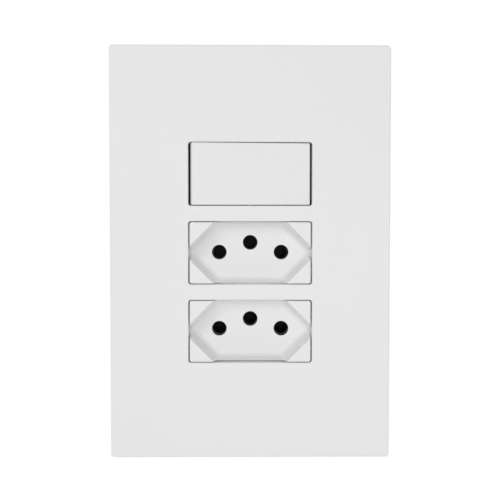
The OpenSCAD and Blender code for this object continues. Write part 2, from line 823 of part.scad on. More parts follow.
// The earth contact: a web between the sleeve and the plate under it
module earth_contact(z) {
    web_top = z + earth_rise - pin_r - 0.1;
    foot_top = z + earth_rise - sleeve_boss_r - 0.4;
    plate_top = z - term_drop + tail_w / 2;
    color("gold") {
        sleeve(0, z + earth_rise);
        block(sheet_t, web_top - plate_top + root, sleeve_y + 2, sleeve_rear_y - 0.2,
            z = (web_top + plate_top - root) / 2);
        block(sheet_t, foot_top - plate_top + root, sleeve_rear_y - 0.2 - root,
            tail_rear_y, z = (foot_top + plate_top - root) / 2);
        tail(0, z - term_drop);
    }
}

module upper_face() { socket_face(upper_z); }
module upper_base() { socket_base(upper_z); }
module upper_left_contact() { outer_contact(-1, upper_z); }
module upper_right_contact() { outer_contact(1, upper_z); }
module upper_earth_contact() { earth_contact(upper_z); }
module upper_left_clamp() { clamp(-term_x, upper_z - term_drop); }
module upper_right_clamp() { clamp(term_x, upper_z - term_drop); }
module upper_earth_clamp() { clamp(0, upper_z - term_drop); }
module upper_left_screw() { terminal_screw(-term_x, upper_z - term_drop); }
module upper_right_screw() { terminal_screw(term_x, upper_z - term_drop); }
module upper_earth_screw() { terminal_screw(0, upper_z - term_drop); }

module lower_face() { socket_face(lower_z); }
module lower_base() { socket_base(lower_z); }
module lower_left_contact() { outer_contact(-1, lower_z); }
module lower_right_contact() { outer_contact(1, lower_z); }
module lower_earth_contact() { earth_contact(lower_z); }
module lower_left_clamp() { clamp(-term_x, lower_z - term_drop); }
module lower_right_clamp() { clamp(term_x, lower_z - term_drop); }
module lower_earth_clamp() { clamp(0, lower_z - term_drop); }
module lower_left_screw() { terminal_screw(-term_x, lower_z - term_drop); }
module lower_right_screw() { terminal_screw(term_x, lower_z - term_drop); }
module lower_earth_screw() { terminal_screw(0, lower_z - term_drop); }

cover_plate();
mounting_frame();
box_screw_top();
box_screw_bottom();
rocker_key();
plunger_spring();
contact_plunger();
seesaw_contact();
moving_rivet();
switch_bezel();
switch_base();
common_terminal();
switched_terminal();
fixed_rivet();
common_clamp();
switched_clamp();
common_screw();
switched_screw();
upper_face();
upper_base();
upper_left_contact();
upper_right_contact();
upper_earth_contact();
upper_left_clamp();
upper_right_clamp();
upper_earth_clamp();
upper_left_screw();
upper_right_screw();
upper_earth_screw();
lower_face();
lower_base();
lower_left_contact();
lower_right_contact();
lower_earth_contact();
lower_left_clamp();
lower_right_clamp();
lower_earth_clamp();
lower_left_screw();
lower_right_screw();
lower_earth_screw();
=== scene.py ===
"""A wall plate with one rocker light switch over two socket outlets.

Lengths are in metres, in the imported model's frame: X to the right, Z up, the wall is the plane
y = 0 and the front faces -Y. The file follows the plate as it is put together, from the front.
"""

import bmesh
import bpy
import numpy as np
from mathutils import Matrix, Vector
from mathutils.geometry import tessellate_polygon


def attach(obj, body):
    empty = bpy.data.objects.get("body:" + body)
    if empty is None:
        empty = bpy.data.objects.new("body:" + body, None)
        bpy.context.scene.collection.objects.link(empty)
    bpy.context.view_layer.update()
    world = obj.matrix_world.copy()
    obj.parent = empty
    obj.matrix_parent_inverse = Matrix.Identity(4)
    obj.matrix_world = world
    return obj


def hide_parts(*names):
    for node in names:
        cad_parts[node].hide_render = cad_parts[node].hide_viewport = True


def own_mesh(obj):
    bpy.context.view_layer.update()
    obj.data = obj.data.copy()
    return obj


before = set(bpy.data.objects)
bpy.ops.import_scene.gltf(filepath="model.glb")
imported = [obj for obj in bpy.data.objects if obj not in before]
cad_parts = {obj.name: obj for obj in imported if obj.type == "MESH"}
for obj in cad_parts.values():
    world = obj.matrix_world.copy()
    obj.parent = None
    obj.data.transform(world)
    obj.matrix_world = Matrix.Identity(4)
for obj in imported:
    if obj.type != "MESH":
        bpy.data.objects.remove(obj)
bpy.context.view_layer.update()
mm = 0.001


# Camera, lamps and room
# The picture is taken from 26 cm in front, a little above the plate's middle, in an even light
# with one soft lamp high on the left, one in front and one behind that brightens the floor. The
# floor lies well below, and all else is white.

CAMERA_AT = Vector((-0.2, -267.0, 8.2)) * mm
CAMERA_TURN = np.radians((87.68, -0.046, -0.65))
LENS = 62.6
LENS_SHIFT = (-0.0188, 0.0222)
ROOM_WHITE = "FFFFFF"
FLOOR_GREY = "EDEDEC"
FLOOR_Z = -0.24
FLOOR_REACH = 0.47
GLOW = 0.545
LAMPS = [
    # name, place, what it points at, size in metres, power in watts
    ("key_lamp", (-0.55, -1.3, 0.5), (0, 0, 0), 0.45, 3.3),
    ("front_lamp", (0.12, -1.6, -0.1), (0, 0, 0), 0.7, 3.4),
    ("back_lamp", (0.7, 1.1, 0.8), (0, 0, 0), 0.8, 9.0),
]


def linear(colour):
    """The linear red, green, blue and alpha of an sRGB hex colour."""
    srgb = np.array([int(colour[i:i + 2], 16) for i in (0, 2, 4)]) / 255
    rgb = np.where(srgb <= 0.04045, srgb / 12.92, ((srgb + 0.055) / 1.055) ** 2.4)
    return (*rgb.tolist(), 1.0)


def add(tree, kind, inputs=None, **settings):
    """Adds a node. settings are its own properties, and inputs gives each of its sockets, by
    name or number, a value or the other node's output that it is linked from."""
    node = tree.nodes.new(kind)
    for key, value in settings.items():
        setattr(node, key, value)
    for key, value in (inputs or {}).items():
        if isinstance(value, bpy.types.NodeSocket):
            tree.links.new(value, node.inputs[key])
        else:
            node.inputs[key].default_value = value
    return node


def white_room():
    """Even soft light on the object, and plain white for the camera and for reflections."""
    world = bpy.data.worlds.new("white_room")
    bpy.context.scene.world = world
    world.use_nodes = True
    tree = world.node_tree
    tree.nodes.clear()
    ray = add(tree, "ShaderNodeLightPath")
    seen = ray.outputs["Is Camera Ray"]
    for kind in ("Is Glossy Ray", "Is Transmission Ray"):
        seen = add(tree, "ShaderNodeMath", {0: seen, 1: ray.outputs[kind]}, operation="MAXIMUM").outputs[0]
    glow = add(tree, "ShaderNodeBackground", {"Color": linear("FAFAFA"), "Strength": GLOW})
    wall = add(tree, "ShaderNodeBackground", {"Color": linear(ROOM_WHITE), "Strength": 1.0})
    either = add(tree, "ShaderNodeMixShader", {0: seen, 1: glow.outputs[0], 2: wall.outputs[0]})
    add(tree, "ShaderNodeOutputWorld", {"Surface": either.outputs[0]})


def pale_floor():
    """A pale floor that keeps the plate's soft shadow and fades to the room's white."""
    bpy.ops.mesh.primitive_circle_add(vertices=96, radius=FLOOR_REACH, fill_type="NGON",
                                      location=(0, 0, FLOOR_Z))
    floor = bpy.context.object
    floor.name = "floor"
    material = bpy.data.materials.new("painted_floor")
    material.use_nodes = True
    tree = material.node_tree
    tree.nodes.clear()
    place = add(tree, "ShaderNodeTexCoord").outputs["Object"]
    distance = add(tree, "ShaderNodeVectorMath", {0: place}, operation="LENGTH").outputs["Value"]
    fade = add(tree, "ShaderNodeMapRange", {0: distance, 1: 0.35 * FLOOR_REACH, 2: 0.95 * FLOOR_REACH},
               interpolation_type="SMOOTHSTEP").outputs[0]
    paint = add(tree, "ShaderNodeBsdfDiffuse", {"Color": linear(FLOOR_GREY)})
    white = add(tree, "ShaderNodeEmission", {"Color": linear(ROOM_WHITE), "Strength": 1.0})
    mix = add(tree, "ShaderNodeMixShader", {0: fade, 1: paint.outputs[0], 2: white.outputs[0]})
    add(tree, "ShaderNodeOutputMaterial", {"Surface": mix.outputs[0]})
    floor.data.materials.append(material)


def lamps():
    """Round soft lamps, each turned towards what it points at."""
    for name, place, target, size, power in LAMPS:
        light = bpy.data.lights.new(name, "AREA")
        light.shape = "DISK"
        light.size = size
        light.energy = power
        lamp = bpy.data.objects.new(name, light)
        lamp.location = place
        lamp.rotation_euler = (Vector(target) - Vector(place)).to_track_quat("-Z", "Y").to_euler()
        bpy.context.scene.collection.objects.link(lamp)


def camera():
    """The camera, with its picture shifted a little on the lens."""
    data = bpy.data.cameras.new("camera")
    data.lens = LENS
    data.shift_x, data.shift_y = LENS_SHIFT
    data.sensor_width = 36
    data.sensor_fit = "HORIZONTAL"
    data.clip_start = 0.01
    eye = bpy.data.objects.new("camera", data)
    eye.location = CAMERA_AT
    eye.rotation_euler = CAMERA_TURN
    bpy.context.scene.collection.objects.link(eye)
    bpy.context.scene.camera = eye


white_room()
pale_floor()
lamps()
camera()
bpy.context.scene.view_settings.view_transform = "Standard"
# White walls that face each other pass light on many times, which brightens the recesses.
bpy.context.scene.cycles.max_bounces = 24
bpy.context.scene.cycles.diffuse_bounces = 24


# Cover plate
# One shell of white ABS, injection moulded: a flat front with three windows and a rim that
# stands on the wall. Four clips behind it snap into the mounting frame.

PLATE_W, PLATE_H, PLATE_D = 83.5 * mm, 123 * mm, 8 * mm
PLATE_WALL, RIM_WALL = 2 * mm, 1.8 * mm
PLATE_CORNER_R = 1 * mm
PLATE_EDGE_R = 0.5 * mm
WINDOW_W, WINDOW_H = 37 * mm, 18.9 * mm
WINDOW_CORNER_R = 0.8 * mm
WINDOW_EDGE_R = 0.15 * mm
PITCH = 23.5 * mm
FRONT_Y = -PLATE_D
PLATE_BACK_Y = FRONT_Y + PLATE_WALL
CLIP_X, CLIP_Z, CLIP_W, CLIP_T, BARB = 29.5 * mm, 46 * mm, 8 * mm, 1.4 * mm, 0.5 * mm
SHARP = np.radians(32)


def arc(steps=6):
    """How far the points of a quarter circle of radius 1 lie in from one of its tangents and
    from the other: 1 - sin a and 1 - cos a, for a from 0 to 90 degrees."""
    a = np.linspace(0, np.pi / 2, steps + 1)
    return 1 - np.sin(a), 1 - np.cos(a)


def rectangle(w, h, r, y, x=0, z=0, steps=6):
    """Rings of a rectangle w wide and h tall with corners of radius r, at depth y. Each size is
    a number, or an array with one value for each ring. A corner's points are its centre plus
    r (cos a, sin a)."""
    w, h, r, y = np.broadcast_arrays(*(np.atleast_1d(v).astype(float)[:, None] for v in (w, h, r, y)))
    turn = np.arange(4)[:, None]
    a = (turn * np.pi / 2 + np.linspace(0, np.pi / 2, steps + 1)).ravel()
    side_x = np.repeat([1, -1, -1, 1], steps + 1)
    side_z = np.repeat([1, 1, -1, -1], steps + 1)
    px = x + side_x * (w / 2 - r) + r * np.cos(a)
    pz = z + side_z * (h / 2 - r) + r * np.sin(a)
    return np.stack([px, y + 0 * px, pz], -1)


def band(rings):
    """The quads between neighbouring rings of a stack, which is rings x points x 3."""
    rows, columns = rings.shape[:2]
    row, column = np.mgrid[:rows - 1, :columns]
    a = row * columns + column
    b = row * columns + (column + 1) % columns
    return rings.reshape(-1, 3), np.stack([a, b, b + columns, a + columns], -1).reshape(-1, 4).tolist()


def filled(*loops):
    """The triangles of a flat region: the first loop is its outline and the rest are holes."""
    faces = tessellate_polygon([[Vector(p) for p in loop] for loop in loops])
    return np.concatenate(loops), [list(face) for face in faces]


def capped(rings):
    """A closed skin: the bands of a stack of rings, with its first and last ring filled."""
    return [band(rings), filled(rings[0]), filled(rings[-1])]


def prism(outline, start, end, axes="xyz"):
    """A closed bar from start to end along the last of axes, whose section is an outline of
    points along the first two."""
    outline = np.array(outline, float)
    ends = np.array([start, end])[:, None, None]
    rings = np.concatenate([np.broadcast_to(outline, (2, *outline.shape)),
                            np.broadcast_to(ends, (2, len(outline), 1))], -1)
    return capped(rings[..., [axes.index(axis) for axis in "xyz"]])


def box(w, h, y0, y1, x=0, z=0):
    """A plain box w wide and h tall, from depth y0 to y1."""
    corners = [(x + i * w / 2, z + j * h / 2) for i, j in ((1, 1), (-1, 1), (-1, -1), (1, -1))]
    return prism(corners, y0, y1, "xzy")


def joined(name, patches):
    """One object of all the patches of points and faces. Their seams are merged, and every
    closed skin has its faces turned outwards."""
    counts = np.cumsum([0] + [len(points) for points, _ in patches])
    faces = [[i + first for i in face] for first, (_, some) in zip(counts, patches) for face in some]
    mesh = bpy.data.meshes.new(name)
    mesh.from_pydata(np.concatenate([points for points, _ in patches]).tolist(), [], faces)
    form = bmesh.new()
    form.from_mesh(mesh)
    bmesh.ops.remove_doubles(form, verts=form.verts, dist=0.002 * mm)
    bmesh.ops.dissolve_degenerate(form, edges=form.edges, dist=0.001 * mm)
    bmesh.ops.recalc_face_normals(form, faces=form.faces)
    form.to_mesh(mesh)
    form.free()
    piece = bpy.data.objects.new(name, mesh)
    bpy.context.scene.collection.objects.link(piece)
    return piece


def carved(patches, cutters):
    """The closed skin that patches make, less the closed skins of cutters, as one patch."""
    solid, tool = joined("solid", patches), joined("tool", cutters)
    bite = solid.modifiers.new("bite", "BOOLEAN")
    bite.operation, bite.solver, bite.object = "DIFFERENCE", "EXACT", tool
    mesh = solid.evaluated_get(bpy.context.evaluated_depsgraph_get()).to_mesh()
    patch = np.array([v.co[:] for v in mesh.vertices]), [list(face.vertices) for face in mesh.polygons]
    for helper in (solid, tool):
        bpy.data.objects.remove(helper)
    return [patch]


def smoothed(piece):
    """Smooth shading with crisp edges, where flat faces keep their own normals."""
    piece.data.shade_smooth()
    piece.data.set_sharp_from_angle(angle=SHARP)
    weighted = piece.modifiers.new("flat_faces_flat", "WEIGHTED_NORMAL")
    weighted.keep_sharp = True
    weighted.weight = 100


def eased(name, material, radius):
    """A kept CAD solid with its material, and its sharp edges rounded to a small radius."""
    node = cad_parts[name]
    node.data.materials.clear()
    node.data.materials.append(material)
    weld = node.modifiers.new("merged_corners", "WELD")
    weld.merge_threshold = 0.001 * mm
    bevel = node.modifiers.new("rounded_edges", "BEVEL")
    bevel.width, bevel.segments, bevel.angle_limit = radius, 2, SHARP
    bevel.limit_method, bevel.miter_outer, bevel.use_clamp_overlap = "ANGLE", "MITER_ARC", True
    smoothed(node)


def finish_piece(piece, body, slot, material, *nodes):
    """Gives a new piece its shading, its material and its body, and hides the nodes it replaces. The slot
    argument is not used.
    """
    smoothed(piece)
    piece.data.materials.clear()
    piece.data.materials.append(material)
    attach(piece, body)
    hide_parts(*nodes)
    return piece


def plastic(name, shades, roughness, slow, grain, depth):
    """An injection moulded plastic. Two close sRGB shades are mixed by a noise with waves of
    length slow. The mould's grain, with waves of length grain, changes the roughness from one
    value to the other and stands depth high. A piece's point attribute for painted shade says
    where its colour is darkened to near black: a painted shade on the walls of the pin holes."""
    material = bpy.data.materials.new(name)
    material.use_nodes = True
    tree = material.node_tree
    shader = tree.nodes["Principled BSDF"]
    place = add(tree, "ShaderNodeTexCoord").outputs["Object"]
    drift = add(tree, "ShaderNodeTexNoise", {"Vector": place, "Scale": 1 / slow, "Detail": 2.0}).outputs[0]
    spots = add(tree, "ShaderNodeTexNoise", {"Vector": place, "Scale": 1 / grain, "Detail": 3.0,
                                             "Roughness": 0.6}).outputs[0]
    colour = add(tree, "ShaderNodeMix", {"Factor": drift, 6: linear(shades[0]), 7: linear(shades[1])},
                 data_type="RGBA").outputs[2]
    # Painted shade: the walls of the pin holes are darkened to near black, in place of the shade deep inside
    # them.
    painted_hole_shade = add(tree, "ShaderNodeAttribute", attribute_name="painted_hole_shade").outputs["Fac"]
    colour = add(tree, "ShaderNodeMix", {"Factor": painted_hole_shade, 6: colour, 7: linear("161618")},
                 data_type="RGBA").outputs[2]
    rough = add(tree, "ShaderNodeMapRange", {0: spots, 1: 0.3, 2: 0.7, 3: roughness[0],
                                             4: roughness[1]}).outputs[0]
    low = add(tree, "ShaderNodeBump", {"Height": drift, "Strength": 0.25, "Distance": 6 * depth}).outputs[0]
    fine = add(tree, "ShaderNodeBump", {"Height": spots, "Strength": 0.12, "Distance": depth,
                                        "Normal": low}).outputs[0]
    tree.links.new(colour, shader.inputs["Base Color"])
    tree.links.new(rough, shader.inputs["Roughness"])
    tree.links.new(fine, shader.inputs["Normal"])
    shader.inputs["IOR"].default_value = 1.53
    return material


def cover_plate():
    """The rim's section, carried round a rectangle with round corners: the front edge's arc,
    the outer side, the foot and the inner side. A window is a small arc and a straight wall."""
    inner, outer = arc()
    foot_in, foot_out = arc(3)
    foot_r = 0.2 * mm
    inset = np.concatenate([PLATE_EDGE_R * inner, foot_r * foot_out, [RIM_WALL, RIM_WALL]])
    y = np.concatenate([FRONT_Y + PLATE_EDGE_R * outer, -foot_r * foot_in, [0, PLATE_BACK_Y]])
    corner = np.maximum(PLATE_CORNER_R - inset, PLATE_CORNER_R / 2)
    rim = rectangle(PLATE_W - 2 * inset, PLATE_H - 2 * inset, corner, y)
    windows = []
    for z in (PITCH, 0, -PITCH):
        spread = WINDOW_EDGE_R * np.concatenate([inner, [0]])
        depth = np.concatenate([FRONT_Y + WINDOW_EDGE_R * outer, [PLATE_BACK_Y]])
        windows.append(rectangle(WINDOW_W + 2 * spread, WINDOW_H + 2 * spread, WINDOW_CORNER_R + spread,
                                 depth, z=z, steps=4))
    patches = [band(rim), *(band(w) for w in windows),
               filled(rim[0], *(w[0] for w in windows)), filled(rim[-1], *(w[-1] for w in windows))]
    catch_y, tip_y = -1.2 * mm, -0.3 * mm
    clip = [(0, PLATE_BACK_Y - 0.5 * mm), (CLIP_T, PLATE_BACK_Y - 0.5 * mm), (CLIP_T, catch_y),
            (CLIP_T + BARB, catch_y), (CLIP_T + BARB, catch_y + 0.2 * mm), (CLIP_T - 0.3 * mm, tip_y),
            (0, tip_y)]
    for side in (1, -1):
        for z in (CLIP_Z, -CLIP_Z):
            outline = [(side * (CLIP_X + x), y) for x, y in clip]
            patches += prism(outline, z - CLIP_W / 2, z + CLIP_W / 2)
    return joined("moulded_cover_plate", patches)


# ABS, injection moulded in a lightly eroded steel mould, white. It is almost even in colour, with
# a soft broad gloss. The mould's grain is some 0.05 mm across, too fine to show, so it is drawn
# 0.35 mm across, with a slow unevenness of 25 mm from shrinkage.
white_abs = plastic("moulded_white_abs", ("F4F3F3", "F5F5F5"), (0.38, 0.46), 25 * mm, 0.35 * mm, 0.01 * mm)
finish_piece(cover_plate(), "housing", "white_abs", white_abs, "cover_plate")


# Rocker key
# A hollow cap of the same white ABS that swings on two pins. Its ends are round about the
# pins, and a hollow stem behind it holds the sprung plunger.

KEY_TILT = np.radians(4)
KEY_PIVOT = Vector((0, -4.15 * mm, PITCH))
KEY_R, KEY_H = 17.97 * mm, 18.4 * mm
KEY_FRONT, KEY_SKIRT_Y, KEY_FRONT_T, KEY_WALL = 3.85 * mm, 1.55 * mm, 1.8 * mm, 1.3 * mm
KEY_EDGE_R = 0.3 * mm
STEM_R, STEM_BORE_R, STEM_Y, STEM_FLOOR_Y = 2.95 * mm, 1.55 * mm, 12.18 * mm, -1 * mm
WEB_T, WEB_Y = 1 * mm, STEM_FLOOR_Y + 1.5 * mm
PIVOT_R, PIVOT_FROM, PIVOT_TO, PIVOT_EDGE = 1 * mm, 6.6 * mm, 11.2 * mm, 0.1 * mm


def turned(r, y, x=0, z=0, steps=48):
    """A solid of revolution about an axis along Y: rings of radius r at depth y."""
    r, y = (np.asarray(v, float)[:, None] for v in (r, y))
    a = np.linspace(0, 2 * np.pi, steps, endpoint=False)
    rings = np.stack([x + r * np.cos(a), y + 0 * a, z + r * np.sin(a)], -1)
    return capped(rings)


def placed(piece, turn, at):
    """Turns a piece about Z and then moves it, in its mesh, so that its object stays put."""
    piece.data.transform(Matrix.Translation(at) @ Matrix.Rotation(turn, 4, "Z"))
    return piece


def rocker_key():
    """At depth y behind the pins, the cap is a rectangle of half width sqrt(R2 - y2), drawn in
    by the front edge's arc. The inner wall is the same with a smaller R."""
    inner, outer = arc(5)
    side_y = np.linspace(KEY_EDGE_R - KEY_FRONT, KEY_SKIRT_Y, 12)[1:]
    hollow_y = np.linspace(KEY_SKIRT_Y, KEY_FRONT_T - KEY_FRONT, 10)
    y = np.concatenate([KEY_EDGE_R * outer - KEY_FRONT, side_y, hollow_y])
    inset = np.concatenate([KEY_EDGE_R * inner, 0 * side_y, 0 * hollow_y])
    radius = np.concatenate([0 * inner + KEY_R, 0 * side_y + KEY_R, 0 * hollow_y + KEY_R - KEY_WALL])
    height = np.concatenate([0 * inner + KEY_H, 0 * side_y + KEY_H, 0 * hollow_y + KEY_H - 2 * KEY_WALL])
    cap = rectangle(2 * (np.sqrt(radius ** 2 - y ** 2) - inset), height - 2 * inset,
                    0.35 * mm - inset / 2, y, steps=4)
    behind = KEY_FRONT_T - KEY_FRONT - 0.3 * mm
    stem = turned([STEM_R, STEM_R, STEM_R - 0.2 * mm, STEM_BORE_R, STEM_BORE_R],
                  [behind, STEM_Y - 0.2 * mm, STEM_Y, STEM_Y, STEM_FLOOR_Y])
    long_web = capped(rectangle([2 * (KEY_R - KEY_WALL)] * 2, [WEB_T] * 2, 0.05 * mm, [behind, WEB_Y]))
    short_web = capped(rectangle([WEB_T] * 2, [KEY_H - KEY_WALL] * 2, 0.05 * mm, [behind, WEB_Y]))
    pin_r = [0.85 * PIVOT_R, PIVOT_R, PIVOT_R, PIVOT_R - PIVOT_EDGE]
    pins = []
    for side in (1, -1):
        pin = turned(pin_r, [PIVOT_FROM, PIVOT_FROM + PIVOT_EDGE, PIVOT_TO - PIVOT_EDGE, PIVOT_TO])
        pins += [(points @ np.array([[1, 0, 0], [0, 0, side], [0, 1, 0]]), faces) for points, faces in pin]
    key = joined("rocking_key", [*capped(cap), *stem, *long_web, *short_web, *pins])
    return placed(key, KEY_TILT, KEY_PIVOT)


finish_piece(rocker_key(), "key", "white_abs", white_abs, "rocker_key")


# Socket faces
# Each is one white ABS moulding: a six-sided recess for the plug's body with drafted walls, a
# floor with three round holes, and a flange and hooks that hold it in the mounting frame.

FACE_W, FACE_H, FACE_CORNER_R = 36.1 * mm, 18.3 * mm, 0.6 * mm
FLANGE_W, MODULE_H, BODY_W = 45 * mm, 23.2 * mm, 41 * mm
FLANGE_Y, FRAME_Y, FLOOR_Y, SPLIT_Y = -3.8 * mm, -2.5 * mm, 0.3 * mm, 2.8 * mm
RECESS_D = FLOOR_Y - FRONT_Y
RECESS_FILLET = 1.2 * mm
FLOOR_SIZE, MOUTH_SIZE = np.array([17, 18.2]) * mm, np.array([18.8, 20.1]) * mm
FACE_EDGE_R = 0.18 * mm
RIM_LEAST = 0.12 * mm
TONGUE_DEEP, TONGUE_H, BUMP, HOLLOW_WALL = 1.05 * mm, 6.3 * mm, 0.3 * mm, 1.5 * mm
HOOK_Y, HOOK_END, HOOK_REACH, HOOK_W, HOOK_Z = 0.15 * mm, 1.75 * mm, 0.9 * mm, 3 * mm, 7.6 * mm
PIN_X, EARTH_RISE, PIN_HOLE_R, PIN_EDGE_R = 9.5 * mm, 3 * mm, 2.25 * mm, 0.06 * mm
PIN_HOLES = ((-PIN_X, 0), (PIN_X, 0), (0, EARTH_RISE))


def box_reach(theta, w, h, r=0.0):
    """How far a rectangle w by h with corners of radius r reaches from its middle in the
    direction theta: to the nearer side, or to a corner's circle, where |t d - c| = r."""
    d = np.maximum(np.abs([np.cos(theta), np.sin(theta)]), 1e-9)
    flat = np.minimum(w / 2 / d[0], h / 2 / d[1])
    c = np.array([w / 2 - r, h / 2 - r])
    along = c @ d
    curved = along + np.sqrt(np.maximum(along ** 2 - c @ c + r * r, 0))
    corner = (flat * d[0] > c[0]) & (flat * d[1] > c[1])
    return np.where(corner, curved, flat)


def recess_reach(theta, t, inset=0):
    """How far the recess reaches in the direction theta at draft t, from 0 at the floor to 1 at
    the mouth. It is the nearer of two flat walls and four slanted ones at 45 degrees, softened
    by a high power, and the small term under the root rounds the two tips."""
    h, reach = ((a + (b - a) * t) for a, b in zip(FLOOR_SIZE, MOUTH_SIZE))
    h, reach = h - 2 * inset, reach - inset * np.sqrt(2)
    p, tip = 110, 0.025
    flat = np.abs(np.sin(theta)) / (h / 2)
    slanted = (np.abs(np.cos(theta)) + np.sqrt(np.sin(theta) ** 2 + tip ** 2)) / reach
    return (flat ** p + slanted ** p) ** (-1 / p)


def round_hole(x, z, y0, y1):
    """A hole's wall from depth y0 to y1, with a small arc at its front edge."""
    inner, outer = arc(4)
    r = np.concatenate([PIN_HOLE_R + PIN_EDGE_R * inner, [PIN_HOLE_R]])[:, None]
    y = np.concatenate([y0 + PIN_EDGE_R * outer, [y1]])[:, None]
    a = np.linspace(0, 2 * np.pi, 64, endpoint=False)
    return np.stack([x + r * np.cos(a), y + 0 * a, z + r * np.sin(a)], -1)


def face_shell(z0):
    """Rings in polar form about the middle: the floor's fillet, the drafted wall up to the
    front or to where the face's own side cuts it off, the rounded rim, and then the side, the
    flange and the body."""
    x, z = np.linspace(0, FACE_W / 2, 73), np.linspace(0, FACE_H / 2, 37)
    quarter = np.concatenate([np.arctan2(z, FACE_W / 2), np.arctan2(FACE_H / 2, x),
                              np.arctan2(MODULE_H, [FLANGE_W, BODY_W])])
    theta = np.concatenate([quarter, np.pi - quarter, np.pi + quarter, 2 * np.pi - quarter])
    theta = np.unique(theta.round(9))
    theta = theta[theta < 6.283]
    side = box_reach(theta, FACE_W, FACE_H, FACE_CORNER_R)

    # The draft at which the wall comes to the face's side, found by a few secant steps.
    cut_off = np.ones_like(theta)
    for _ in range(4):
        error = side - RIM_LEAST - recess_reach(theta, cut_off)
        cut_off += error / (recess_reach(theta, 1) - recess_reach(theta, 0))
    crest_y = np.maximum(FRONT_Y, FLOOR_Y - RECESS_D * cut_off)
    rim = side - recess_reach(theta, (FLOOR_Y - crest_y) / RECESS_D)
    edge = np.minimum(FACE_EDGE_R, rim / 2.2)

    rings = []
    for a in np.linspace(0, np.pi / 2, 9):
        rise = RECESS_FILLET * (1 - np.cos(a))
        r = recess_reach(theta, rise / RECESS_D, RECESS_FILLET * (1 - np.sin(a)))
        rings.append((r, FLOOR_Y - rise + 0 * theta))
    for s in np.linspace(0, 1, 9)[1:]:
        y = (FLOOR_Y - RECESS_FILLET) * (1 - s) + (crest_y + edge) * s
        rings.append((recess_reach(theta, (FLOOR_Y - y) / RECESS_D), y))
    top = rings[-1][0]
    for inner, outer in zip(*arc(4)):
        rings.append((top + edge * outer, crest_y + edge * inner))
    for inner, outer in zip(*arc(4)):
        rings.append((side - edge * inner, crest_y + edge * outer))
    rings.append((side, FLANGE_Y + 0 * theta))
    for w, y in ((FLANGE_W, FLANGE_Y), (FLANGE_W, FRAME_Y), (BODY_W, FRAME_Y), (BODY_W, SPLIT_Y)):
        rings.append((box_reach(theta, w, MODULE_H), y + 0 * theta))
    r, y = np.array([r for r, _ in rings]), np.array([y for _, y in rings])
    return np.stack([r * np.cos(theta), y, z0 + r * np.sin(theta)], -1)


def tongue_rooms(z0):
    """The rooms in a module's sides for its base's tongues, each with a notch for the bump."""
    outline = [(BODY_W / 2 + TONGUE_DEEP, -0.75 * mm), (BODY_W / 2 + TONGUE_DEEP, SPLIT_Y + 1 * mm),
               (BODY_W / 2 - TONGUE_DEEP, SPLIT_Y + 1 * mm), (BODY_W / 2 - TONGUE_DEEP, 0.9 * mm),
               (BODY_W / 2 - TONGUE_DEEP - BUMP, 0.9 * mm), (BODY_W / 2 - TONGUE_DEEP - BUMP, -0.45 * mm),
               (BODY_W / 2 - TONGUE_DEEP, -0.45 * mm), (BODY_W / 2 - TONGUE_DEEP, -0.75 * mm)]
    return [patch for side in (1, -1)
            for patch in prism([(side * x, y) for x, y in outline], z0 - TONGUE_H / 2, z0 + TONGUE_H / 2)]


def corner_hollows(z0):
    """Three-sided hollows behind the flange, outside the recess's slanted walls."""
    x1 = BODY_W / 2 - TONGUE_DEEP - BUMP - HOLLOW_WALL
    z1 = MODULE_H / 2 - HOLLOW_WALL
    line = MOUTH_SIZE[1] + HOLLOW_WALL * np.sqrt(2)
    corner = [(line - z1, z1), (x1, line - x1), (x1, z1)]
    return [patch for i in (1, -1) for j in (1, -1)
            for patch in prism([(i * x, z0 + j * z) for x, z in corner], FLANGE_Y + 2 * HOLLOW_WALL,
                               SPLIT_Y + 1 * mm, "xzy")]


def frame_hooks(z0):
    """Wedges at a module's sides that catch behind the mounting frame."""
    outline = [(BODY_W / 2 - 0.5 * mm, HOOK_Y), (BODY_W / 2 + HOOK_REACH, HOOK_Y),
               (BODY_W / 2 + HOOK_REACH, HOOK_Y + 0.4 * mm), (BODY_W / 2, HOOK_END),
               (BODY_W / 2 - 0.5 * mm, HOOK_END)]
    return [patch for i in (1, -1) for j in (1, -1)
            for patch in prism([(i * x, y) for x, y in outline], z0 + j * HOOK_Z - HOOK_W / 2,
                               z0 + j * HOOK_Z + HOOK_W / 2)]


def mark_hole_walls(face, z0):
    """Sets the attribute that paints a near black shade on the pin holes' walls to 1 at the points
    that lie on a hole's wall, which are a hole's radius from its axis and behind its rounded edge,
    and to 0 elsewhere. This painted shade stands in for the shade deep in the holes."""
    x, y, z = np.array([v.co[:] for v in face.data.vertices]).T
    off_wall = np.min([np.abs(np.hypot(x - px, z - z0 - pz) - PIN_HOLE_R) for px, pz in PIN_HOLES], axis=0)
    on_wall = (off_wall < 0.01 * mm) & (y > FLOOR_Y + 0.9 * PIN_EDGE_R)
    painted_hole_shade = face.data.attributes.new("painted_hole_shade", "FLOAT", "POINT")
    painted_hole_shade.data.foreach_set("value", on_wall.astype(np.float32))


def socket_face(row, z0):
    """The shell, the holes, the recess's floor and the rear face make one skin. The tongues'
    rooms and the corners' hollows are cut from it, and the hooks are added."""
    shell = face_shell(z0)
    holes = [round_hole(x, z0 + z, FLOOR_Y, SPLIT_Y) for x, z in PIN_HOLES]
    patches = [band(shell), *(band(h) for h in holes),
               filled(shell[0], *(h[0] for h in holes)), filled(shell[-1], *(h[-1] for h in holes))]
    hollowed = carved(patches, tongue_rooms(z0) + corner_hollows(z0))
    face = joined("moulded_" + row + "_face", hollowed + frame_hooks(z0))
    mark_hole_walls(face, z0)
    return face


for row, z0 in (("upper", 0.0), ("lower", -PITCH)):
    finish_piece(socket_face(row, z0), "housing", "white_abs", white_abs, row + "_face")


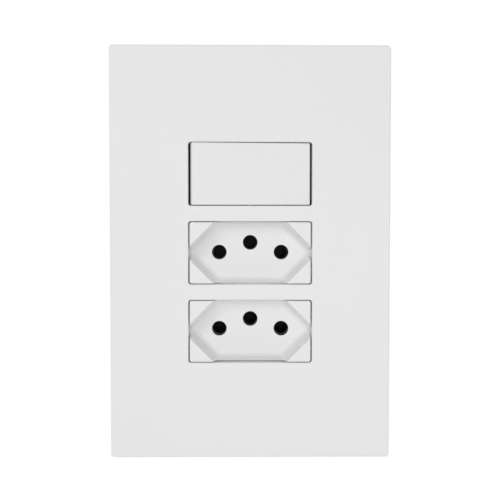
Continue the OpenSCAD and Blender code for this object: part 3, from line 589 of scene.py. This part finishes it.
# Switch bezel, mounting frame and module bases
# The bezel carries the key's pins and is of the same ABS. The frame is light grey nylon and holds
# the three modules in a row. The bases are near black nylon, with a well behind each terminal.

# Nylon, moulded, light grey, with a low and even shine.
frame_plastic = plastic("moulded_grey_nylon", ("C9C9C7", "CFCFCC"), (0.46, 0.58), 30 * mm, 0.4 * mm,
                        0.012 * mm)
# Nylon filled with carbon black, moulded in a sparked mould, so its grain is coarser and duller.
base_plastic = plastic("moulded_black_nylon", ("121213", "18181A"), (0.5, 0.66), 18 * mm, 0.5 * mm, 0.02 * mm)

FRAME_W, FRAME_H, FRAME_R, RIB_H, RIB_T = 70 * mm, 112 * mm, 3 * mm, 1.4 * mm, 1.2 * mm
OPENING_W, OPENING_H, LEDGE_Y = 41.6 * mm, 70.8 * mm, -1.3 * mm
BOX_SCREW_Z, SCREW_SLOT_W, SCREW_SLOT_H = 41.75 * mm, 8.6 * mm, 4.1 * mm
CLIP_SLOT_FRONT, CLIP_SLOT_REAR, CLIP_PLAY = 2.3 * mm, 2.95 * mm, 0.3 * mm
SHORT_RIB_X = 11.2 * mm


def mounting_frame():
    """The outline's rings run round a raised edge rib, over it and down to the front face, and
    behind it to the rear face. The holes' rings join the two faces, and more ribs stand on the
    front one."""
    inner, outer = arc(4)
    round_r = 0.3 * mm
    inset = np.concatenate([[RIB_T, RIB_T], round_r * inner, round_r * outer])
    y = np.concatenate([[FRAME_Y, FRAME_Y - RIB_H], FRAME_Y - RIB_H + round_r * outer, -round_r * inner])
    edge = rectangle(FRAME_W - 2 * inset, FRAME_H - 2 * inset, FRAME_R - inset / 2, y)
    holes = [rectangle([OPENING_W] * 2, [OPENING_H] * 2, 0.3 * mm, [FRAME_Y, 0], steps=3)]
    widths = np.array([CLIP_SLOT_FRONT, CLIP_SLOT_FRONT, CLIP_SLOT_REAR, CLIP_SLOT_REAR])
    for end in (1, -1):
        holes.append(rectangle([SCREW_SLOT_W] * 2, [SCREW_SLOT_H] * 2, SCREW_SLOT_H / 2, [FRAME_Y, 0],
                               z=end * BOX_SCREW_Z, steps=8))
        for side in (1, -1):
            middles = side * (CLIP_X - 0.75 * mm + widths[:, None] / 2)
            holes.append(rectangle(widths, [CLIP_W + 2 * CLIP_PLAY] * 4, 0.05 * mm,
                                   [FRAME_Y, LEDGE_Y, LEDGE_Y, 0], x=middles, z=end * CLIP_Z, steps=1))
    patches = [band(edge), *(band(h) for h in holes),
               filled(edge[0], *(h[0] for h in holes)), filled(edge[-1], *(h[-1] for h in holes))]
    top, root = FRAME_Y - RIB_H, FRAME_Y + 0.5 * mm
    rib_len = FRAME_H / 2 - OPENING_H / 2 - 1 * mm
    for side in (1, -1):
        patches += box(RIB_T, OPENING_H, top, root, side * (FLANGE_W / 2 + 0.5 * mm + RIB_T / 2))
        for end in (1, -1):
            patches += box(RIB_T, rib_len - 0.2 * mm, top, root, side * SHORT_RIB_X,
                           end * (FRAME_H - rib_len) / 2)
    return joined("moulded_mounting_frame", patches)


finish_piece(mounting_frame(), "housing", "frame_plastic", frame_plastic, "mounting_frame")
eased("switch_bezel", white_abs, 0.2 * mm)
for name in ("switch_base", "upper_base", "lower_base"):
    eased(name, base_plastic, 0.2 * mm)


# Screws
# Two long screws hold the frame on the wall box, and eight short ones clamp the wires. All are of
# zinc plated steel, with rolled threads and a slot across a domed head.

BOX_SCREW_R, BOX_THREAD_PITCH, BOX_SCREW_LEN = 1.75 * mm, 0.7 * mm, 22 * mm
BOX_HEAD_R, BOX_HEAD_T = 3.5 * mm, 2 * mm
TERMINAL_SCREW_R, TERMINAL_THREAD_PITCH, TERMINAL_SCREW_LEN = 1.5 * mm, 0.5 * mm, 6 * mm
TERMINAL_HEAD_R, TERMINAL_HEAD_T = 2.5 * mm, 1.6 * mm
CLAMP_Y = 18.4 * mm
TERMINAL_X, TERMINAL_DROP = 15.2 * mm, 6.2 * mm


def metal(name, shades, roughness, grain, depth, stretch=(1, 1, 1)):
    """A bare or plated metal. Its two shades are mixed by a slow noise, and a fine noise with
    waves of length grain, stretched along the tool's direction, gives the sheen's unevenness."""
    material = bpy.data.materials.new(name)
    material.use_nodes = True
    tree = material.node_tree
    shader = tree.nodes["Principled BSDF"]
    place = add(tree, "ShaderNodeTexCoord").outputs["Object"]
    drift = add(tree, "ShaderNodeTexNoise", {"Vector": place, "Scale": 1 / (3 * mm),
                                             "Detail": 3.0}).outputs[0]
    drawn = add(tree, "ShaderNodeVectorMath", {0: place, 1: stretch}, operation="MULTIPLY").outputs[0]
    lines = add(tree, "ShaderNodeTexNoise", {"Vector": drawn, "Scale": 1 / grain, "Detail": 2.0}).outputs[0]
    colour = add(tree, "ShaderNodeMix", {"Factor": drift, 6: linear(shades[0]), 7: linear(shades[1])},
                 data_type="RGBA").outputs[2]
    rough = add(tree, "ShaderNodeMapRange", {0: lines, 1: 0.3, 2: 0.7, 3: roughness[0],
                                             4: roughness[1]}).outputs[0]
    bump = add(tree, "ShaderNodeBump", {"Height": lines, "Strength": 0.3, "Distance": depth}).outputs[0]
    tree.links.new(colour, shader.inputs["Base Color"])
    tree.links.new(rough, shader.inputs["Roughness"])
    tree.links.new(bump, shader.inputs["Normal"])
    shader.inputs["Metallic"].default_value = 1.0
    return material


def threaded(r, pitch, y0, y1, steps=28):
    """A threaded bar along Y. At angle a and depth y the radius is r less the ridge's depth times
    1 - w, where w is a blunt triangle wave of y / pitch - a / 2 pi that fades in at both ends."""
    y = np.linspace(y0, y1, int(round((y1 - y0) / pitch * 8)) + 1)[:, None]
    a = np.linspace(0, 2 * np.pi, steps, endpoint=False)[None, :]
    wave = np.clip(1.3 * np.abs(2 * ((y / pitch - a / (2 * np.pi)) % 1) - 1), 0, 1)
    fade = np.clip(np.minimum(y - y0, y1 - y) / pitch, 0, 1)
    radius = r - 0.55 * pitch * np.where(y > (y0 + y1) / 2, 1 - wave * fade, (1 - wave) * fade)
    return capped(np.stack([radius * np.cos(a), y + 0 * a, radius * np.sin(a)], -1))


def slotted_head(r, t):
    """A domed head of radius r and thickness t, whose bearing face is at y = 0 and whose slot
    opens towards -Y. Half of the thickness is the dome's rise."""
    rise, edge = t / 2, 0.12 * mm
    dome_r = (r * r + rise * rise) / (2 * rise)
    across = np.linspace(r - edge, 0.02 * mm, 12)
    dome = dome_r - t - np.sqrt(dome_r ** 2 - across ** 2)
    radius = np.concatenate([[r - edge, r, r], across])
    y = np.concatenate([[0, -edge, dome[0] + edge], dome])
    slot = box(2 * r + 1 * mm, 0.45 * t, -t - 1 * mm, -t / 2)
    return carved(turned(radius, y), slot)


def shifted(patches, x, y, z, side=1):
    """Patches moved to a place, turned to face the other way along Y if side is -1."""
    return [(points * [1, side, 1] + [x, y, z], faces) for points, faces in patches]


def box_screw(head, z):
    """A long screw: its head on the frame, a plain neck, the threaded shank and a blunt point."""
    neck = turned([1.5 * mm, 1.5 * mm], [-3 * mm, 0.6 * mm])
    point = turned([1.4 * mm, BOX_SCREW_R / 2], [BOX_SCREW_LEN - 0.1 * mm, BOX_SCREW_LEN + 1 * mm], steps=28)
    shank = threaded(BOX_SCREW_R, BOX_THREAD_PITCH, 0, BOX_SCREW_LEN)
    return shifted(head, 0, FRAME_Y, z) + shifted(neck + shank + point, 0, 0, z)


def terminal_screw(head, x, z):
    """A short screw whose head bears on its clamp plate from behind."""
    shank = threaded(TERMINAL_SCREW_R, TERMINAL_THREAD_PITCH, -TERMINAL_SCREW_LEN, 0.2 * mm, 24)
    return shifted(head, x, CLAMP_Y, z, -1) + shifted(shank, x, CLAMP_Y, z)


# Zinc plating on steel, bright with a faint blue, dulled where it was handled. The heads' turning
# marks are some 0.02 mm apart, drawn 0.1 mm apart.
box_screw_steel = metal("zinc_plated_box_screw", ("B9BCBE", "C9CBCB"), (0.22, 0.36), 0.25 * mm, 0.006 * mm)
terminal_screw_steel = metal("zinc_plated_terminal_screw", ("B2B5B6", "C6C7C6"), (0.26, 0.4), 0.2 * mm,
                             0.006 * mm)

large_head = slotted_head(BOX_HEAD_R, BOX_HEAD_T)
for name, z in (("top", BOX_SCREW_Z), ("bottom", -BOX_SCREW_Z)):
    finish_piece(joined("threaded_box_screw_" + name, box_screw(large_head, z)), "housing", "box_screw_steel",
                 box_screw_steel, "box_screw_" + name)

small_head = slotted_head(TERMINAL_HEAD_R, TERMINAL_HEAD_T)
TERMINALS = [("common", -TERMINAL_X, PITCH), ("switched", TERMINAL_X, PITCH)]
for row, z0 in (("upper", 0.0), ("lower", -PITCH)):
    for side, x in (("left", -TERMINAL_X), ("right", TERMINAL_X), ("earth", 0.0)):
        TERMINALS.append((row + "_" + side, x, z0 - TERMINAL_DROP))
for name, x, z in TERMINALS:
    finish_piece(joined("threaded_" + name + "_screw", terminal_screw(small_head, x, z)), "housing",
                 "terminal_screw_steel", terminal_screw_steel, name + "_screw")


# Terminals, clamps and socket contacts
# Stamped and bent brass sheet, 0.8 to 1 mm thick. The sleeves that grip the pins carry a
# painted shade that darkens them towards their mouths.


def brass_with_painted_shade():
    """Stamped brass with a painted shade that turns it near black towards the front: y from 15 mm down to 11
    mm.
    """
    material = metal("stamped_terminal_brass", ("C79F55", "D2AE66"), (0.24, 0.4), 0.3 * mm, 0.008 * mm,
                     (1, 0.2, 1))
    tree = material.node_tree
    shader = tree.nodes["Principled BSDF"]
    bright = shader.inputs["Base Color"].links[0].from_socket
    place = add(tree, "ShaderNodeTexCoord").outputs["Object"]
    depth = add(tree, "ShaderNodeSeparateXYZ", {0: place}).outputs["Y"]
    out_of_painted_shade = add(tree, "ShaderNodeMapRange", {0: depth, 1: 11 * mm, 2: 15 * mm},
                interpolation_type="SMOOTHSTEP").outputs[0]
    # Painted shade: towards the front the brass goes near black and loses its metal sheen, as the sleeves lie
    # deep in shade.
    colour = add(tree, "ShaderNodeMix", {"Factor": out_of_painted_shade, 6: linear("050505"), 7: bright},
                 data_type="RGBA").outputs[2]
    tree.links.new(colour, shader.inputs["Base Color"])
    tree.links.new(out_of_painted_shade, shader.inputs["Metallic"])
    return material


# Brass sheet, with the rolling's fine lines along its length.
terminal_brass = brass_with_painted_shade()
clamp_brass = metal("stamped_clamp_brass", ("C2984E", "CFAA60"), (0.28, 0.42), 0.3 * mm, 0.008 * mm,
                    (0.2, 1, 1))

contacts = [f"{row}_{side}_contact" for row in ("upper", "lower") for side in ("left", "right", "earth")]
for name in ("common_terminal", "switched_terminal", *contacts):
    eased(name, terminal_brass, 0.1 * mm)
for name, _, _ in TERMINALS:
    eased(name + "_clamp", clamp_brass, 0.12 * mm)


# Switch mechanism
# The key's sprung plunger rides on a copper seesaw, which rocks on the common terminal's nose and
# closes a pair of silver rivets. All of it is hidden inside the switch's base.

# Acetal, natural, slightly waxy and smooth where it slides.
plunger_plastic = plastic("moulded_natural_acetal", ("D8D3C4", "DDD9CC"), (0.3, 0.4), 8 * mm, 0.3 * mm,
                          0.006 * mm)
# Drawn spring wire, grey, with fine lines along the wire.
spring_steel = metal("drawn_spring_steel", ("8E8F90", "A0A1A2"), (0.2, 0.34), 0.1 * mm, 0.003 * mm)
# Copper strip, rolled, a little tarnished.
contact_copper = metal("rolled_copper", ("A9643F", "BC7A54"), (0.28, 0.42), 0.3 * mm, 0.006 * mm,
                       (0.2, 1, 1))
# Silver alloy rivet heads, pressed, with a soft sheen.
contact_silver = metal("pressed_contact_silver", ("D6D5D0", "E2E1DD"), (0.16, 0.28), 0.2 * mm, 0.004 * mm)

eased("contact_plunger", plunger_plastic, 0.1 * mm)

COIL_R, WIRE_R, SPRING_TURNS = 1.15 * mm, 0.2 * mm, 9
SPRING_START, SPRING_END, SPRING_SEAT = -0.7 * mm, 7.58 * mm, -0.9 * mm


def plunger_spring():
    """A round wire along the helix r (cos 2 pi t, sin 2 pi t), whose depth grows evenly with t,
    from 0 to the number of turns. Each ring of the wire lies in the plane of Y and its radius."""
    t = np.linspace(0, SPRING_TURNS, SPRING_TURNS * 32 + 1)[:, None]
    b = np.linspace(0, 2 * np.pi, 12, endpoint=False)[None, :]
    r = COIL_R + WIRE_R * np.cos(b)
    y = SPRING_START + (SPRING_END - SPRING_START) * t / SPRING_TURNS + WIRE_R * np.sin(b)
    rings = np.stack([r * np.cos(2 * np.pi * t), y, r * np.sin(2 * np.pi * t)], -1)
    return placed(joined("wound_plunger_spring", capped(rings)), KEY_TILT, KEY_PIVOT)


spring = finish_piece(plunger_spring(), "key", "spring_steel", spring_steel, "plunger_spring")
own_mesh(spring)
eased("seesaw_contact", contact_copper, 0.1 * mm)
for name in ("moving_rivet", "fixed_rivet"):
    eased(name, contact_silver, 0.08 * mm)
